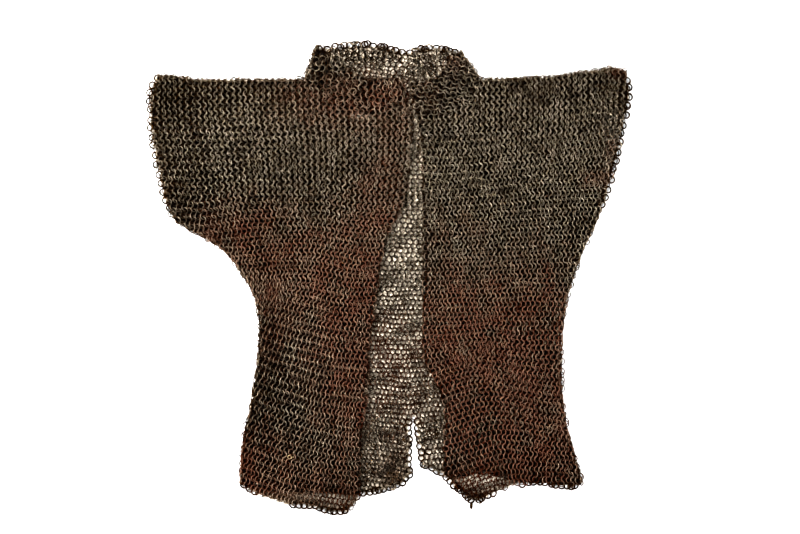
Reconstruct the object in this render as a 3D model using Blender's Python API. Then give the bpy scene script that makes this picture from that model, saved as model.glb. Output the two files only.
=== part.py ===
"""Chainmail hauberk laid flat: eight panels of iron mail and one brass repair link.

The short mail shirt lies on its back, open down the front.  Plan tables are in
millimetres, +X to the wearer's left, +Y towards the neck, +Z up from the table.
The back and the sleeves' back halves lie on the table, and the fronts lie on them.
"""

import math

import bmesh
import bpy

MM = 0.001                 # the tables below are in millimetres

WALL = 6.0                 # one layer of mail: leaning rings, not flat wire
GAP = 0.3                  # clearance between neighbouring pieces
TOP = 2 * WALL + GAP       # two layers lying on each other
SEAM_SHIFT = 0.6           # how far a sewn-on piece starts from the edge it joins
ROUND = 6.0                # how far in from a folded edge the layer is rounded
LIP = 1.2                  # thickness left at the very edge of a rounded fold
HEM_DROP = 16.0            # length over which a front hem drops to the table
HEM_CLEAR = 12.0           # a front stays up this far past the back's hem
FOLD_STEPS = 6             # facets round a fold of the collar

LINK_RADIUS = 5.2          # brass repair link: centre line of its wire
LINK_WIRE = 0.8            # and the wire's own radius
LINK_PLACE = (-165.0, -293.0)

# Shoulder folds, from the armhole to the foot of the collar.
SHOULDER = {
    "right": [(-250, 331), (-223, 330), (-183, 331), (-142, 332)],
    "left": [(262, 335), (233, 335), (190, 332), (149, 332)],
}
# Armhole seams, from the shoulder down to the underarm.
ARMHOLE = {
    "right": [(-250, 331), (-246, 180), (-250, 15)],
    "left": [(262, 335), (276, 150), (296, -18)],
}
# Side folds, from the underarm down to the corner of the hem.
SIDE = {
    "right": [(-250, 15), (-231, -15), (-219, -50), (-217, -90), (-219, -130),
              (-226, -172), (-233, -217), (-243, -258), (-247, -299), (-249, -338)],
    "left": [(296, -18), (291, -45), (285, -92), (284, -140), (284, -178),
             (289, -225), (298, -266), (308, -300), (319, -338)],
}
# Neck edges of the fronts, from the shoulder round to the front opening.
NECK_FRONT = {
    "right": [(-142, 332), (-122, 306), (-88, 281), (-45, 271), (0, 269), (37, 268)],
    "left": [(149, 332), (130, 303), (104, 280), (76, 270), (46, 266)],
}
# Opening edges of the fronts, from the neck down to the hem.
OPENING = {
    "right": [(37, 268), (34, 215), (28, 150), (16, 108), (-6, 70), (-17, 20),
              (-28, -66), (-36, -120), (-38, -198), (-47, -248), (-50, -365)],
    "left": [(46, 266), (54, 190), (56, 60), (55, -116), (64, -149), (83, -182),
             (91, -225), (90, -270), (87, -327)],
}
# Hems of the fronts, from the side to the opening.
HEM_FRONT = {
    "right": [(-249, -338), (-228, -355), (-194, -368), (-161, -377), (-128, -379),
              (-103, -387), (-83, -390), (-64, -384), (-50, -365)],
    "left": [(319, -338), (306, -346), (285, -346), (260, -341), (223, -340), (198, -347),
             (174, -357), (149, -369), (134, -369), (118, -358), (99, -339), (87, -327)],
}
# Back: neck edge and middle line shared by both halves, then the slit's two sides.
NECK_BACK = {
    "right": [(-142, 332), (-70, 325), (20, 322)],
    "left": [(149, 332), (90, 325), (20, 322)],
}
MIDDLE = [(20, 322), (28, 0), (38, -224)]
SLIT = {
    "right": [(38, -224), (34, -240), (35, -270), (34, -300), (36, -324)],
    "left": [(38, -224), (41, -242), (43, -262), (46, -285), (50, -309)],
}
HEM_BACK = {
    "right": [(-249, -338), (-203, -346), (-130, -350), (-80, -354), (-37, -356),
              (-12, -352), (20, -341), (36, -324)],
    "left": [(319, -338), (273, -338), (215, -332), (182, -325), (149, -321),
             (107, -326), (80, -322), (50, -309)],
}
# Sleeves, pressed flat: the top fold, the cuff from top to bottom, and the lower fold.
SLEEVE_TOP = {
    "right": [(-250, 331), (-283, 330), (-322, 331), (-355, 336), (-384, 339)],
    "left": [(262, 335), (297, 340), (332, 345), (365, 350), (392, 344)],
}
CUFF = {
    "right": [(-384, 339), (-395, 327), (-400, 308), (-400, 267), (-397, 230),
              (-389, 188), (-377, 135), (-364, 108)],
    "left": [(392, 344), (400, 306), (394, 276), (387, 245), (383, 215), (372, 176),
             (358, 132), (349, 114)],
}
SLEEVE_LOW = {
    "right": [(-250, 15), (-265, 36), (-298, 62), (-327, 78), (-346, 89), (-364, 108)],
    "left": [(296, -18), (314, 34), (331, 73), (349, 114)],
}
# Collar: a band folded at both ends of the neck, standing when the shirt is worn.
# Its top edge, from each fold to the middle of the back and to the front opening.
COLLAR_BACK = {
    "right": [(-125, 386), (-98, 385), (-58, 390), (-12, 389), (25, 376)],
    "left": [(118, 375), (97, 383), (66, 386), (42, 383), (25, 376)],
}
COLLAR_FRONT = {
    "right": [(-125, 386), (-88, 364), (-62, 341), (-30, 331), (18, 330)],
    "left": [(118, 375), (97, 362), (83, 338), (60, 327), (34, 322)],
}

# Columns and rows of each grid, as fractions from its first edge to its last.
ACROSS_PANEL = (0, 0.008, 0.024, 0.08, 0.16, 0.25, 0.33, 0.42, 0.5, 0.5625, 0.625,
                0.6875, 0.75, 0.8125, 0.875, 0.9375, 1)
DOWN_PANEL = (0, 0.003, 0.009, 0.03, 0.07, 0.11, 0.15, 0.19, 0.23, 0.27, 0.31, 0.35,
              0.39, 0.435, 0.48, 0.52, 0.56, 0.6, 0.64, 0.68, 0.72, 0.76, 0.8, 0.83,
              0.845, 0.87, 0.9, 0.925, 0.94, 0.955, 0.97, 0.985, 1)
ALONG_SLEEVE = (0, 0.125, 0.25, 0.375, 0.5, 0.625, 0.75, 0.875, 1)
DOWN_SLEEVE = (0, 0.004, 0.011, 0.022, 0.08, 0.16, 0.24, 0.32, 0.4, 0.48, 0.56, 0.64,
               0.72, 0.8, 0.88, 0.94, 0.978, 0.989, 0.996, 1)
ALONG_COLLAR = (0.04, 0.125, 0.25, 0.375, 0.5, 0.625, 0.75, 0.875, 1)
UP_COLLAR = (0, 0.25, 0.5, 0.75, 1)
SHOULDER_SHARE = 0.5       # the column where a panel's shoulder ends and its neck begins
UNDERARM_SHARE = 0.48      # the row where its armhole ends and its side begins
SLIT_START = 0.83          # the row of the back's grid where the slit begins
NECK_STEPS = 8             # straight runs of a neck seam, the same on both its pieces

IRON_DARK = (0.070, 0.060, 0.048)
IRON_BROWN = (0.085, 0.058, 0.043)
IRON_RUSTED = (0.120, 0.062, 0.042)
BRASS = (0.50, 0.36, 0.16)


# ---------------------------------------------------------------- plan curves

def smooth_line(points, steps=8):
    """A smooth curve through the points, as (x, y) samples."""
    padded = [points[0], *points, points[-1]]
    samples = []
    for before, start, end, after in zip(padded, padded[1:], padded[2:], padded[3:]):
        for step in range(steps):
            f = step / steps
            samples.append(tuple(
                0.5 * (2 * b + (c - a) * f + (2 * a - 5 * b + 4 * c - d) * f * f
                       + (3 * b - a - 3 * c + d) * f ** 3)
                for a, b, c, d in zip(before, start, end, after)))
    return samples + [points[-1]]


def along(table):
    """A function from a fraction of a smooth line's length to a point on it."""
    samples = smooth_line(table)
    marks = [0.0]
    for start, end in zip(samples, samples[1:]):
        marks.append(marks[-1] + math.dist(start, end))

    def point(fraction):
        wanted = fraction * marks[-1]
        for k in range(len(samples) - 1):
            if marks[k + 1] >= wanted and marks[k + 1] > marks[k]:
                f = (wanted - marks[k]) / (marks[k + 1] - marks[k])
                return mix(samples[k], samples[k + 1], f)
        return samples[-1]
    return point


def mix(start, end, fraction):
    return tuple(a + (b - a) * fraction for a, b in zip(start, end))


def in_two(first, second, share):
    """One edge made of two lines, the first one taking the given share."""
    def point(fraction):
        if fraction <= share:
            return first(fraction / share)
        return second((fraction - share) / (1 - share))
    return point


def stepped(table, steps=NECK_STEPS):
    """The same line in equal straight runs, so that two pieces can share a seam."""
    line = along(table)
    knots = [line(k / steps) for k in range(steps + 1)]

    def point(fraction):
        k = min(steps - 1, int(fraction * steps + 1e-9))
        return mix(knots[k], knots[k + 1], fraction * steps - k)
    return point


def shifted(table, dx=0.0, dy=0.0):
    return [(x + dx, y + dy) for x, y in table]


def patch(top, bottom, start, end):
    """A flat patch spanned by four edges: s runs from start to end, t from top down."""
    corners = (top(0), top(1), bottom(0), bottom(1))

    def point(s, t):
        ruled = [(1 - t) * a + t * b + (1 - s) * c + s * d
                 for a, b, c, d in zip(top(s), bottom(s), start(t), end(t))]
        bilinear = [(1 - s) * (1 - t) * a + s * (1 - t) * b + (1 - s) * t * c + s * t * d
                    for a, b, c, d in zip(*corners)]
        return tuple(r - b for r, b in zip(ruled, bilinear))
    return point


def distance_to(point, samples):
    """Distance from a point to a sampled line."""
    nearest = math.inf
    for (ax, ay), (bx, by) in zip(samples, samples[1:]):
        span = (bx - ax) ** 2 + (by - ay) ** 2
        f = 0.0
        if span > 0:
            f = ((point[0] - ax) * (bx - ax) + (point[1] - ay) * (by - ay)) / span
        f = min(1.0, max(0.0, f))
        nearest = min(nearest, math.dist(point, mix((ax, ay), (bx, by), f)))
    return nearest


# ------------------------------------------------------------ heights of layers

def rounded_share(point, fold):
    """How much of the wall's thickness is left near a folded edge, 0 to 1."""
    reach = min(1.0, distance_to(point, fold) / ROUND)
    least = LIP / WALL
    return least + (1 - least) * math.sqrt(max(0.0, 1 - (1 - reach) ** 2))


def back_hem_height(x, hem):
    """How far up the back's hem lies at this x."""
    for (ax, ay), (bx, by) in zip(hem, hem[1:]):
        if min(ax, bx) <= x <= max(ax, bx) and ax != bx:
            return mix((ay,), (by,), (x - ax) / (bx - ax))[0]
    return min(hem, key=lambda end: abs(end[0] - x))[1]


def front_floor(point, hem):
    """Height that a front rests at: on the back, or on the table past its hem."""
    past = back_hem_height(point[0], hem) - HEM_CLEAR - point[1]
    f = min(1.0, max(0.0, past / HEM_DROP))
    return (WALL + GAP) * (1 - f * f * (3 - 2 * f))


# ------------------------------------------------------------------ solid walls

class Wall:
    """A closed wall built from matching outer and inner grids of points."""

    def __init__(self):
        self.mesh = bmesh.new()
        self.corners = {}
        self.partner = {}

    def corner(self, point):
        key = tuple(round(value, 4) for value in point)
        if key not in self.corners:
            self.corners[key] = self.mesh.verts.new([value * MM for value in point])
        return self.corners[key]

    def face(self, corners):
        ring = [c for k, c in enumerate(corners) if c is not corners[k - 1]]
        if len(ring) > 2:
            self.mesh.faces.new(ring)

    def layer(self, outer, inner):
        """Two skins over the same cells; the border is closed later."""
        outer_corners = [[self.corner(point) for point in row] for row in outer]
        inner_corners = [[self.corner(point) for point in row] for row in inner]
        for outer_row, inner_row in zip(outer_corners, inner_corners):
            self.partner.update(zip(outer_row, inner_row))
        for grid, turned in ((outer_corners, False), (inner_corners, True)):
            for upper, lower in zip(grid, grid[1:]):
                for k in range(len(upper) - 1):
                    ring = [upper[k], upper[k + 1], lower[k + 1], lower[k]]
                    self.face(ring[::-1] if turned else ring)

    def close_border(self):
        open_edges = [edge for edge in self.mesh.edges
                      if edge.is_boundary and edge.verts[0] in self.partner]
        for edge in open_edges:
            first, second = edge.verts
            if second in self.partner:
                self.face([first, second, self.partner[second], self.partner[first]])

    def finish(self, name, color, roughness=0.6):
        self.close_border()
        bmesh.ops.recalc_face_normals(self.mesh, faces=self.mesh.faces)
        bmesh.ops.triangulate(self.mesh, faces=self.mesh.faces)
        return add_object(name, self.mesh, color, roughness)


def add_object(name, mesh, color, roughness):
    data = bpy.data.meshes.new(name)
    mesh.to_mesh(data)
    mesh.free()
    made = bpy.data.objects.new(name, data)
    bpy.context.scene.collection.objects.link(made)
    finish = bpy.data.materials.new(name)
    finish.use_nodes = True
    shader = finish.node_tree.nodes["Principled BSDF"]
    shader.inputs["Base Color"].default_value = (*color, 1)
    shader.inputs["Metallic"].default_value = 0.8
    shader.inputs["Roughness"].default_value = roughness
    data.materials.append(finish)
    return made


def grid_points(plan, across, down, height):
    """Rows of 3-D points over a patch, at the height given for each plan point."""
    rows = []
    for t in down:
        row = []
        for s in across:
            point = plan(s, t)
            row.append((*point, height(point)))
        rows.append(row)
    return rows


# ----------------------------------------------------------------------- pieces

def make_front(side):
    """One front: shoulder, armhole, side, hem, opening and neck, lying on the back."""
    plan = patch(
        top=in_two(along(SHOULDER[side]), stepped(NECK_FRONT[side]), SHOULDER_SHARE),
        bottom=along(HEM_FRONT[side]),
        start=in_two(along(ARMHOLE[side]), along(SIDE[side]), UNDERARM_SHARE),
        end=along(OPENING[side]),
    )
    shoulder = smooth_line(SHOULDER[side])
    side_fold = smooth_line(SIDE[side])
    hem = smooth_line(HEM_BACK[side])

    def top_height(point):
        share = min(rounded_share(point, shoulder), rounded_share(point, side_fold))
        return front_floor(point, hem) + WALL * share

    wall = Wall()
    wall.layer(
        grid_points(plan, ACROSS_PANEL, DOWN_PANEL, top_height),
        grid_points(plan, ACROSS_PANEL, DOWN_PANEL, lambda point: front_floor(point, hem)),
    )
    color = IRON_RUSTED if side == "right" else IRON_BROWN
    return wall.finish(f"front_{side}", color)


def make_back():
    """The whole back in one piece, with the riding slit cut up from its hem."""
    wall = Wall()
    for side in ("right", "left"):
        plan = patch(
            top=in_two(along(SHOULDER[side]), stepped(NECK_BACK[side]), SHOULDER_SHARE),
            bottom=along(HEM_BACK[side]),
            start=in_two(along(ARMHOLE[side]), along(SIDE[side]), UNDERARM_SHARE),
            end=in_two(along(MIDDLE), along(SLIT[side]), SLIT_START),
        )
        shoulder = smooth_line(SHOULDER[side])
        side_fold = smooth_line(SIDE[side])

        def foot_height(point, shoulder=shoulder, side_fold=side_fold):
            share = min(rounded_share(point, shoulder), rounded_share(point, side_fold))
            return WALL * (1 - share)

        wall.layer(
            grid_points(plan, ACROSS_PANEL, DOWN_PANEL, lambda point: WALL),
            grid_points(plan, ACROSS_PANEL, DOWN_PANEL, foot_height),
        )
    return wall.finish("back", IRON_DARK)


def make_sleeve(side):
    """A short wide sleeve pressed flat, open at the armhole and the cuff.

    Its front half lies on its back half, and the tube's inside is the gap between.
    """
    away = -SEAM_SHIFT if side == "right" else SEAM_SHIFT
    armhole = shifted(ARMHOLE[side], away)
    top_fold = [armhole[0], *SLEEVE_TOP[side][1:]]
    low_fold = [armhole[-1], *SLEEVE_LOW[side][1:]]
    plan = patch(
        top=along(top_fold),
        bottom=along(low_fold),
        start=along(armhole),
        end=along(CUFF[side]),
    )
    folds = [smooth_line(top_fold), smooth_line(low_fold)]

    def thickness(point):
        return WALL * min(rounded_share(point, fold) for fold in folds)

    def skin(height):
        return grid_points(plan, ALONG_SLEEVE, DOWN_SLEEVE, height)

    front = Wall()
    front.layer(
        skin(lambda point: WALL + GAP + thickness(point)),
        skin(lambda point: WALL + GAP),
    )
    front.finish(f"sleeve_{side}_front", IRON_DARK)
    back = Wall()
    back.layer(
        skin(lambda point: WALL),
        skin(lambda point: WALL - thickness(point)),
    )
    back.finish(f"sleeve_{side}_back", IRON_DARK)


def fold_rows(edge, above, below):
    """Outer and inner points round a fold, from the upper layer to the lower.

    edge is the outermost line of the fold; above and below are where the two flat
    layers begin.
    """
    outer = []
    inner = []
    middle = TOP / 2
    for step in range(FOLD_STEPS + 1):
        angle = math.pi * step / FOLD_STEPS
        upper_half = step <= FOLD_STEPS // 2
        start = above if upper_half else below
        level = middle + (GAP / 2 if upper_half else -GAP / 2)
        outer.append([(*mix(s, e, math.sin(angle)), middle + middle * math.cos(angle))
                      for s, e in zip(start, edge)])
        inner.append([(*s, level) for s in start])
    return outer, inner


def at_level(rows, level):
    return [[(*point, level) for point in row] for row in rows]


def collar_patch(top, foot):
    """The plan of one stretch of the collar: s along the band, t from top to foot."""
    top_line = along(top)
    foot_line = stepped(shifted(foot, dy=SEAM_SHIFT))
    return patch(
        top=top_line,
        bottom=foot_line,
        start=lambda t: mix(top_line(0), foot_line(0), t),
        end=lambda t: mix(top_line(1), foot_line(1), t),
    )


def make_collar():
    """The standing collar: its back stretch below, two front ones above, two folds."""
    wall = Wall()
    for side in ("right", "left"):
        front = collar_patch(COLLAR_FRONT[side], NECK_FRONT[side])
        back = collar_patch(COLLAR_BACK[side], NECK_BACK[side])
        upper = [[front(s, t) for t in UP_COLLAR] for s in ALONG_COLLAR]
        lower = [[back(s, t) for t in UP_COLLAR] for s in ALONG_COLLAR]
        fold_line = [front(0, t) for t in UP_COLLAR]
        wall.layer(at_level(upper, TOP), at_level(upper, WALL + GAP))
        wall.layer(*fold_rows(fold_line, upper[0], lower[0]))
        wall.layer(at_level(lower, 0.0), at_level(lower, WALL))
    return wall.finish("collar", IRON_BROWN)


def make_repair_link():
    """One brass link put in to mend the mail, standing just proud of the right front."""
    x, y = LINK_PLACE
    bpy.ops.mesh.primitive_torus_add(
        major_segments=24, minor_segments=8,
        major_radius=LINK_RADIUS * MM, minor_radius=LINK_WIRE * MM,
        location=(x * MM, y * MM, (TOP + GAP + LINK_WIRE) * MM))
    torus = bpy.context.object
    mesh = bmesh.new()
    mesh.from_mesh(torus.data)
    mesh.transform(torus.matrix_world)
    bpy.data.objects.remove(torus)
    made = add_object("repair_link", mesh, BRASS, roughness=0.4)
    made.data.shade_smooth()
    return made


def main():
    for old in list(bpy.data.objects):
        bpy.data.objects.remove(old)
    make_back()
    for side in ("right", "left"):
        make_front(side)
        make_sleeve(side)
    make_collar()
    make_repair_link()


main()
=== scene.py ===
"""Chainmail hauberk laid flat: the links of its mail, their worn iron, and the stage.

Every link is a ring of wire, leaning the other way from row to row as four-in-one mail
does, and placed from the walls of the frame: the front of the shirt lies on its back,
the two meet in folds at the shoulders and sides, and the cut edges end in loose links.
Places on the plan are in millimetres, in the frame's own axes; the rest is in metres.
"""

import math
from collections import namedtuple

import bpy
import numpy as np
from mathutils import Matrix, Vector
from mathutils.bvhtree import BVHTree


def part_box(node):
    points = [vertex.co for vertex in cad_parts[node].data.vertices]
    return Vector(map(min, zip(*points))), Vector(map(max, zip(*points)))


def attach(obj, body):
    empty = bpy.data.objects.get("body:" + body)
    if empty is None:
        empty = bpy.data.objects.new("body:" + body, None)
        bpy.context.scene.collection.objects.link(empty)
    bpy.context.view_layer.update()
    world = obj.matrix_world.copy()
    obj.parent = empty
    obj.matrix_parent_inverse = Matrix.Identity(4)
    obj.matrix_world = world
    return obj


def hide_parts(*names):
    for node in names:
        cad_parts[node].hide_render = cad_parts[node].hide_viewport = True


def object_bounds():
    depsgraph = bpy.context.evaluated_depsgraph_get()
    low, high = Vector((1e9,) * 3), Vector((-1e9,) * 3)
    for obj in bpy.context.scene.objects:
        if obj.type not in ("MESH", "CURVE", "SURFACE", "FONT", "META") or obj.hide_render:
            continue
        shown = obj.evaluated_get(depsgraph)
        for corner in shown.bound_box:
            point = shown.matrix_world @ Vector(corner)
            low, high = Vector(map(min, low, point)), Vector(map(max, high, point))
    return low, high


bl_info = {
    "name": "Chainmail hauberk",
    "version": (1, 0, 0),
    "blender": (4, 5, 0),
    "location": "3D View > Sidebar > Mail",
    "description": "Links the mail of a short hauberk laid flat, in worn and rusted iron",
    "category": "Object",
}

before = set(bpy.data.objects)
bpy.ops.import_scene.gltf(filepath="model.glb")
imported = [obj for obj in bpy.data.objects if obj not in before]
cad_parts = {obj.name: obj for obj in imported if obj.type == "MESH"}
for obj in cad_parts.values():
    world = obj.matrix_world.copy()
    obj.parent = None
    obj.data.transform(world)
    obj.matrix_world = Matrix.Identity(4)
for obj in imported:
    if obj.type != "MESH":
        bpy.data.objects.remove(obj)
CAD_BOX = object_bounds()

MM = 0.001
UP = np.array([0.0, 0.0, 1.0])
COMPASS = [(math.cos(k * math.pi / 4), math.sin(k * math.pi / 4)) for k in range(8)]
MOST_TRIANGLES = 200_000   # in one piece

# ------------------------------------------------------------------ measures of the mail

# Walls of the frame.
UPRIGHT = 0.2              # a face whose normal rises less than this is part of a border
COLLAR_SPLIT = 0.008       # height between the collar's back stretch and its front ones (m)
FOLD_BORDER = 0.0035       # a border lower than this is a fold (m)
SEAM = (0.8, 0.4)          # a step aside that clears the gap between two walls (mm)
BEYOND = 3.0               # a step out from an edge, to see what goes on there (mm)
INTO = 1e-5                # a step in through a wall's face, to find its other face (m)
OVER_FOLD = 0.3            # a way that points outward more than this goes over a fold
BORDER_SLOPE = 0.4         # most slope of a border's top edge, as a share of its height
LEVEL = 0.001              # a top edge that slopes less than this is level (m)
SHORTEST_EDGE = 0.05       # a shorter edge is left out (mm)
SAME_HEIGHT = 0.00005      # corners this near the fold's height lie on it (m)
SAME_PLACE = 0.2           # ends of edges that are this near each other meet (mm)
PAST_END = 1.0             # how far past its ends an edge of a fold still counts (mm)

# A link's wire.
WIRE_SIDES = 3
# A wire with few sides is drawn larger, so that it looks as thick as a round one.
DRAWN_WIDER = math.pi / (WIRE_SIDES * math.sin(math.pi / WIRE_SIDES))
LAP = 1.35                 # how much wider it is where the link's ends lap
LAP_FLATTER = 0.1          # and the share by which it is flatter there

# The weave.
OPEN_PITCH = 9.5           # column pitch at which a link has its plain lean (mm)
COLUMN_SHARE = 0.55        # how much a link follows its column rather than its row
TWIST_SHARE = 0.7          # how much it turns in plan, against how its lean differs
NOD_SHARE = 0.6            # how much it tips up along its column, against the same
RADIUS_SPREAD = 0.02       # how much its radius differs, as a share
WAVES = 55.0               # length of the waves in which the weave wanders (mm)
WANDER = {"right": 1.3, "left": 1.3, "back": 2.0, "turned": 1.3}
NECK_WANDER = 1.2          # how much more it wanders round the neck (mm)
FLATTEST = 0.5             # a loose link keeps at most this share of its lean
SWEEP_START = -30.0        # left of this the right skirt's rows sweep up to the side (mm)
SWEEP_WIDTH = 205.0        # and as far as this (mm)
SWEEP_RISE = 0.0010        # by this much for the distance squared (1/mm)
SWEEP_HEIGHTS = (-120, 20)  # in full below the first height, and no more above the second
NECK_HEIGHTS = (290, 330)  # between these the neck's own wander sets in (mm)
NECK_HALF = 160            # and as far as this to either side (mm)
MOST_COLUMNS = 75          # to either side of a weave's middle
MARGIN = 20.0              # how far the rows go on past the heights of their table (mm)

# Edges and folds.
ROLL = 6.0                 # how far from a fold its links begin to turn over it (mm)
FOLD_ROOM = 1.0            # how far the weave stays from a fold's own links (mm)
FOLD_PITCH = 7.5           # from link to link along a fold (mm)
FOLD_INSET = (0.0002, 0.0005)  # how far in a fold link lies: usually, and give or take (m)
FOLD_UNEVEN = 0.0004       # how much its height differs (m)
FOLD_FOOT = 0.0045         # how far below its middle a fold link's foot counts, which sets its painted highlight and shade (m)
UNEVEN = 0.2               # how much steps along a fold or an edge differ, as a share
BRINK = 2.2                # room for a link's middle at the fronts' opening (mm)
EDGE_PITCH = 8.8           # from link to link along a hem (mm)
RIM_PITCH = 9.0            # from link to link along the collar's rim (mm)
EDGE_ROLL = 0.15           # how far an edge link droops outward (radians)
SIDE_ROLL = 0.3            # how much further where the edge runs up and down
ROLL_SPREAD = 0.28         # how much the droop differs (radians)
YAW_SPREAD = 0.25          # how much an edge link turns out of its edge (radians)
EDGE_RADIUS_SPREAD = 0.03  # how much its radius differs, as a share
EDGE_INSET = (-0.0002, 0.0008)  # how far in it has moved: usually, and give or take (m)
EDGE_UNEVEN = 0.0005       # how much its height differs (m)
EDGE_OVERLAP = 0.0014      # how far an edge link reaches out past its wall (m)
EDGE_RISE = 0.0022         # how far an edge link's middle rides above the wall's foot (m)
EDGE_SHADE_DROP = 0.003          # how much lower than the rest the edge links pass for, which paints them darker as shade (m)
CUFF = 300.0               # the cuffs lie further out than this (mm)
CUFF_SPARSER = 6.0         # how much further apart the edge links are there (mm)
CUFF_ROOM = 1.8            # how much further in the weave ends there (mm)
CUFF_SHADE_DROP = 0.0065         # the drop of the cuffs' links, which hang clear of the table; it keeps their painted highlight down (m)
SHORTEST_RUN = 3.0         # a shorter edge has no links of its own (mm)
TIP = (0.134, -0.3735)     # where the last link hangs from the left front's hem (m)
TIP_SHADE_FOOT = 0.012           # the height at which its foot counts, which keeps it dark as painted shade (m)

# How uneven the mail is against the fronts' and the sleeves'.
BACK_DISORDER = 1.1
COLLAR_DISORDER = 2.0
COLLAR_EDGE_DISORDER = 1.6
COLLAR_SPLIT_X = 30.0      # from here to the wearer's left its rows run slantwise (mm)

# How many straight steps make up a ring.
FINE_RING = 12
PLAIN_RING = 10            # for the back, which is mostly covered

# Wear, and painted highlight and shade by height.
RUB_AND_LIGHT_HEIGHT = 0.0072             # height over its foot at which a link is rubbed most and painted brightest (m)
LOW_FOOT = 0.003           # links whose foot is lower than this lie on the table (m)
LOW_LIT_SHARE = 0.52          # how much of their rubbing and painted highlight those keep: painted shade on the layer below
THICK_WIRE = 1.5           # an edge link's wire is thicker than this
EDGE_RUSTED = 0.4          # how rusted an edge link is against the rest
RUST_SPREAD = 0.09         # how much rust differs from link to link

# ------------------------------------------------------------------ tables of the mail

# Spacing of a weave at a height on the shirt: column pitch, row pitch (mm).
Spacing = namedtuple("Spacing", "height column row")
SPACING = {
    "right": (
        Spacing(340, 9.8, 6.2),
        Spacing(250, 9.8, 6.0),
        Spacing(190, 9.4, 6.0),
        Spacing(130, 8.9, 6.3),
        Spacing(70, 7.8, 7.0),
        Spacing(10, 7.2, 7.4),
        Spacing(-60, 7.0, 7.8),
        Spacing(-200, 6.9, 8.0),
        Spacing(-400, 7.0, 8.0),
    ),
    "left": (
        Spacing(350, 9.1, 5.9),
        Spacing(250, 8.7, 6.0),
        Spacing(190, 7.8, 6.4),
        Spacing(130, 7.2, 7.1),
        Spacing(10, 7.2, 7.6),
        Spacing(-60, 7.4, 7.7),
        Spacing(-110, 7.8, 7.5),
        Spacing(-170, 7.7, 7.2),
        Spacing(-400, 7.5, 7.4),
    ),
    "back": (
        Spacing(390, 9.8, 6.1),
        Spacing(250, 9.7, 6.1),
        Spacing(190, 9.4, 6.5),
        Spacing(70, 8.9, 6.9),
        Spacing(10, 8.2, 7.2),
        Spacing(-50, 7.8, 7.4),
        Spacing(-170, 7.6, 7.4),
        Spacing(-230, 7.0, 7.8),
        Spacing(-400, 6.9, 7.8),
    ),
    "turned": (
        Spacing(400, 8.2, 7.2),
        Spacing(-400, 8.2, 7.2),
    ),
}

# Places where a weave has been pulled: how far its rows are lifted there (mm), how much
# its rows tilt and how much its columns slant (radians).
Drag = namedtuple("Drag", "x y reach_x reach_y lift tilt slant", defaults=(0.0, 0.0))
DRAGS = {
    "right": (
        Drag(-200, 255, 110, 60, 0, 0, 0.13),
        Drag(-270, 120, 50, 40, 0, 0.2),
        Drag(-50, 170, 70, 80, 0, -0.14, -0.08),
        Drag(-95, 5, 60, 80, 0, -0.2, -0.12),
        Drag(-165, -150, 60, 80, 0, 0, 0.08),
        Drag(-155, -290, 70, 80, 0, -0.08, -0.14),
    ),
    "left": (
        Drag(70, -340, 60, 70, -18),
        Drag(95, -165, 36, 30, 0, 0.2, 0.1),
        Drag(130, -265, 60, 60, 0, 0.28, 0.2),
        Drag(158, -195, 48, 60, 13),
        Drag(190, -160, 80, 60, 0, 0, 0.14),
        Drag(190, 140, 150, 110, 0, 0.08, 0.05),
        Drag(280, -200, 90, 90, -6),
    ),
    "back": (
        Drag(0, -330, 60, 70, 10, -0.1),
        Drag(60, -250, 40, 50, 0, 0.2, 0.1),
    ),
    "turned": (),
}
MIDDLE = {"right": -90.0, "left": 205.0, "back": 20.0, "turned": 0.0}
TURN = {"right": 0.0, "left": 0.0, "back": 0.0, "turned": math.radians(68)}

# Rust, as soft patches on the plan (mm).
Patch = namedtuple("Patch", "x y reach_x reach_y strength")
FRONT_RUST = (
    Patch(-240, 80, 60, 40, 0.65),
    Patch(-150, 30, 90, 45, 0.5),
    Patch(-90, -20, 80, 60, 0.45),
    Patch(5, 180, 25, 90, 0.45),
    Patch(-30, 150, 20, 40, 0.3),
    Patch(-125, -140, 35, 45, 0.12),
    Patch(155, -130, 40, 55, 0.12),
    Patch(-30, 60, 40, 60, 0.65),
    Patch(-70, -110, 45, 120, 0.8),
    Patch(-40, -115, 25, 60, 0.4),
    Patch(-60, -230, 30, 60, 0.5),
    Patch(-195, -70, 30, 80, 0.35),
    Patch(-240, -310, 40, 50, 0.7),
    Patch(-185, -300, 40, 50, 0.35),
    Patch(-110, -340, 90, 30, 0.55),
    Patch(-80, 290, 80, 35, 0.6),
    Patch(110, 85, 45, 45, 0.3),
    Patch(180, -110, 110, 70, 1.0),
    Patch(130, -220, 90, 90, 1.0),
    Patch(225, -292, 70, 55, 1.0),
    Patch(250, -60, 35, 110, 0.5),
    Patch(120, -60, 70, 60, 0.6),
    Patch(0, 306, 34, 13, 0.5),
    Patch(108, 352, 20, 16, 0.3),
    Patch(378, 342, 14, 8, 0.6),
    Patch(368, 215, 12, 14, 0.5),
    Patch(345, 165, 20, 12, 0.6),
)
BACK_RUST = (
    Patch(-5, -115, 35, 40, 0.35),
    Patch(20, -200, 60, 90, 0.3),
    Patch(60, 330, 60, 40, 0.35),
)
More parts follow.
